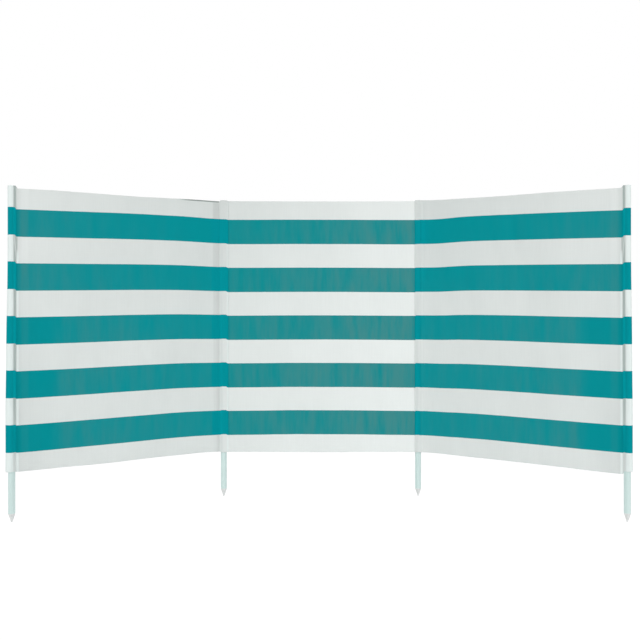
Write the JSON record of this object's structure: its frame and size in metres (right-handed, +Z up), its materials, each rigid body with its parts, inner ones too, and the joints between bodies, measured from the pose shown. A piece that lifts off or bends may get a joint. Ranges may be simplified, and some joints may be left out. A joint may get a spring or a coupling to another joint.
{
  "type": "beach windbreak",
  "caption": "Folding beach windbreak: striped cloth bays sewn with pockets round pointed tube poles that are pushed into the sand.",
  "frame": {"origin": "centre of the flat blunt end of the second pole's point, counted from the left seen from the front", "axes": "+Z up along the poles, +X along the middle bay from the second pole to the third, +Y to the rear, away from the hollow side that the two outer bays swing towards"},
  "size_m": [2.2388, 0.3914, 1.2013],
  "materials": {
    "striped_cloth": "woven polyester printed in broad teal and white bands, matt with a faint sheen",
    "coated_pole": "thin steel tube with a smooth pale aqua-white coating, satin",
    "moulded_point": "pale grey moulded plastic, satin",
    "moulded_cap": "pale grey moulded plastic, satin"
  },
  "bodies": {
    "middle_bay": {"pole_tube_2": "coated_pole", "pole_point_2": "moulded_point", "pole_cap_2": "moulded_cap", "pocket_2": "striped_cloth", "pole_tube_3": "coated_pole", "pole_point_3": "moulded_point", "pole_cap_3": "moulded_cap", "pocket_3": "striped_cloth", "panel_middle": "striped_cloth", "top_hem_middle": "striped_cloth", "bottom_hem_middle": "striped_cloth"},
    "left_bay": {"pole_tube_1": "coated_pole", "pole_point_1": "moulded_point", "pole_cap_1": "moulded_cap", "pocket_1": "striped_cloth", "pocket_lap_left": "striped_cloth", "panel_left": "striped_cloth", "top_hem_left": "striped_cloth", "bottom_hem_left": "striped_cloth"},
    "right_bay": {"pole_tube_4": "coated_pole", "pole_point_4": "moulded_point", "pole_cap_4": "moulded_cap", "pocket_4": "striped_cloth", "pocket_lap_right": "striped_cloth", "panel_right": "striped_cloth", "top_hem_right": "striped_cloth", "bottom_hem_right": "striped_cloth"}
  },
  "joints": [
    {"name": "left_bay_fold", "type": "hinge", "parent": "middle_bay", "child": "left_bay", "pos_m": [0, 0, 0], "axis": [0, 0, 1], "range_deg": [-117, 63]},
    {"name": "right_bay_fold", "type": "hinge", "parent": "middle_bay", "child": "right_bay", "pos_m": [0.79, 0, 0], "axis": [0, 0, -1], "range_deg": [-117, 63]}
  ]
}
